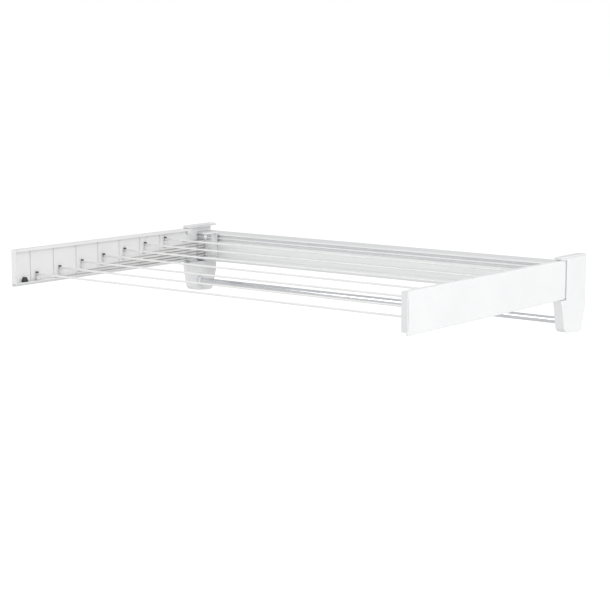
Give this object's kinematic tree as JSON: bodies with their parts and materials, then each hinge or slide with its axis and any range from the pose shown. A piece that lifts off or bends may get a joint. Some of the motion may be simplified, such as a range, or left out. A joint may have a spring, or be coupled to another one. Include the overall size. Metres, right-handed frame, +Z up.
{
  "type": "wall mounted drying rack",
  "caption": "Wall-mounted drying rack with parallel coated rods between two hinged arms, a grooved aluminium wall rail and a towel bar; the arms swing sideways together to fold flat.",
  "frame": {"origin": "middle of the wall rail's flat back face, on the wall plane", "axes": "+X along the wall to the right as seen from the room, +Y into the wall, +Z up"},
  "size_m": [1.004, 0.63, 0.1564],
  "materials": {
    "white_plastic": "satin white",
    "ribbed_plastic": "satin white moulding",
    "coated_steel": "white plastic coat",
    "anodised_rail": "anodised, drawn lengthwise",
    "chrome_bar": "polished",
    "bare_steel": "drawn",
    "guide_steel": "drawn wire",
    "dark_plastic": "satin dark grey",
    "dark_rubber": "matt"
  },
  "bodies": {
    "wall_unit": {"wall_rail": "anodised_rail", "bracket_left": "white_plastic", "bracket_right": "white_plastic", "bracket_cap_left": "white_plastic", "bracket_cap_right": "white_plastic", "towel_bar": "chrome_bar", "towel_bar_socket_left": "white_plastic", "towel_bar_socket_right": "white_plastic", "guide_post_holder": "white_plastic", "guide_post": "bare_steel", "hinge_pin_upper_left": "bare_steel", "hinge_pin_lower_left": "bare_steel", "hinge_pin_upper_right": "bare_steel", "hinge_pin_lower_right": "bare_steel"},
    "left_arm": {"arm_frame_left": "ribbed_plastic", "arm_cover_left": "white_plastic", "arm_end_cap_left": "white_plastic", "rod_rest_pad": "dark_rubber", "rod_keeper_1": "dark_plastic", "rod_keeper_2": "dark_plastic", "rod_keeper_3": "dark_plastic", "rod_keeper_4": "dark_plastic", "rod_keeper_5": "dark_plastic", "rod_keeper_6": "dark_plastic", "rod_keeper_7": "dark_plastic"},
    "right_arm": {"arm_frame_right": "ribbed_plastic", "arm_cover_right": "white_plastic", "arm_end_cap_right": "white_plastic"},
    "rod_1": {"drying_rod_1": "coated_steel", "rod_clip_1": "white_plastic"},
    "rod_2": {"drying_rod_2": "coated_steel", "rod_clip_2": "white_plastic"},
    "rod_3": {"drying_rod_3": "coated_steel", "rod_clip_3": "white_plastic"},
    "rod_4": {"drying_rod_4": "coated_steel", "rod_clip_4": "white_plastic"},
    "rod_5": {"drying_rod_5": "coated_steel", "rod_clip_5": "white_plastic"},
    "rod_6": {"drying_rod_6": "coated_steel", "rod_clip_6": "white_plastic"},
    "rod_7": {"drying_rod_7": "coated_steel", "rod_clip_7": "white_plastic"},
    "guide_wires": {"guide_wire_1": "guide_steel", "guide_wire_2": "guide_steel", "guide_wire_3": "guide_steel", "guide_wire_4": "guide_steel", "guide_wire_5": "guide_steel", "guide_wire_6": "guide_steel", "guide_wire_7": "guide_steel"}
  },
  "joints": [
    {"name": "left_arm_swing", "type": "hinge", "parent": "wall_unit", "child": "left_arm", "pos_m": [-0.4915, -0.088, 0], "axis": [0, 0, 1], "range_deg": [0, 84]},
    {"name": "right_arm_swing", "type": "hinge", "parent": "wall_unit", "child": "right_arm", "pos_m": [0.4915, -0.088, 0], "axis": [0, 0, 1], "range_deg": [0, 84]},
    {"name": "rod_1_pivot", "type": "hinge", "parent": "left_arm", "child": "rod_1", "pos_m": [-0.4915, -0.565, -0.0124], "axis": [0, 0, 1], "range_deg": [-84, 0]},
    {"name": "rod_2_pivot", "type": "hinge", "parent": "left_arm", "child": "rod_2", "pos_m": [-0.4915, -0.4985, -0.0059], "axis": [0, 0, 1], "range_deg": [-84, 0]},
    {"name": "rod_3_pivot", "type": "hinge", "parent": "left_arm", "child": "rod_3", "pos_m": [-0.4915, -0.432, 0.0006], "axis": [0, 0, 1], "range_deg": [-84, 0]},
    {"name": "rod_4_pivot", "type": "hinge", "parent": "left_arm", "child": "rod_4", "pos_m": [-0.4915, -0.3655, 0.0071], "axis": [0, 0, 1], "range_deg": [-84, 0]},
    {"name": "rod_5_pivot", "type": "hinge", "parent": "left_arm", "child": "rod_5", "pos_m": [-0.4915, -0.299, 0.0136], "axis": [0, 0, 1], "range_deg": [-84, 0]},
    {"name": "rod_6_pivot", "type": "hinge", "parent": "left_arm", "child": "rod_6", "pos_m": [-0.4915, -0.2325, 0.0201], "axis": [0, 0, 1], "range_deg": [-84, 0]},
    {"name": "rod_7_pivot", "type": "hinge", "parent": "left_arm", "child": "rod_7", "pos_m": [-0.4915, -0.166, 0.0266], "axis": [0, 0, 1], "range_deg": [-84, 0]},
    {"name": "guide_wire_swing", "type": "hinge", "parent": "wall_unit", "child": "guide_wires", "pos_m": [-0.4424, -0.0834, 0], "axis": [0, 0, 1], "range_deg": [0, 84]}
  ],
  "couplings": [
    {"joint": "right_arm_swing", "follows": "left_arm_swing", "ratio": 1},
    {"joint": "rod_1_pivot", "follows": "left_arm_swing", "ratio": -1},
    {"joint": "rod_2_pivot", "follows": "left_arm_swing", "ratio": -1},
    {"joint": "rod_3_pivot", "follows": "left_arm_swing", "ratio": -1},
    {"joint": "rod_4_pivot", "follows": "left_arm_swing", "ratio": -1},
    {"joint": "rod_5_pivot", "follows": "left_arm_swing", "ratio": -1},
    {"joint": "rod_6_pivot", "follows": "left_arm_swing", "ratio": -1},
    {"joint": "rod_7_pivot", "follows": "left_arm_swing", "ratio": -1},
    {"joint": "guide_wire_swing", "follows": "left_arm_swing", "ratio": 1}
  ]
}
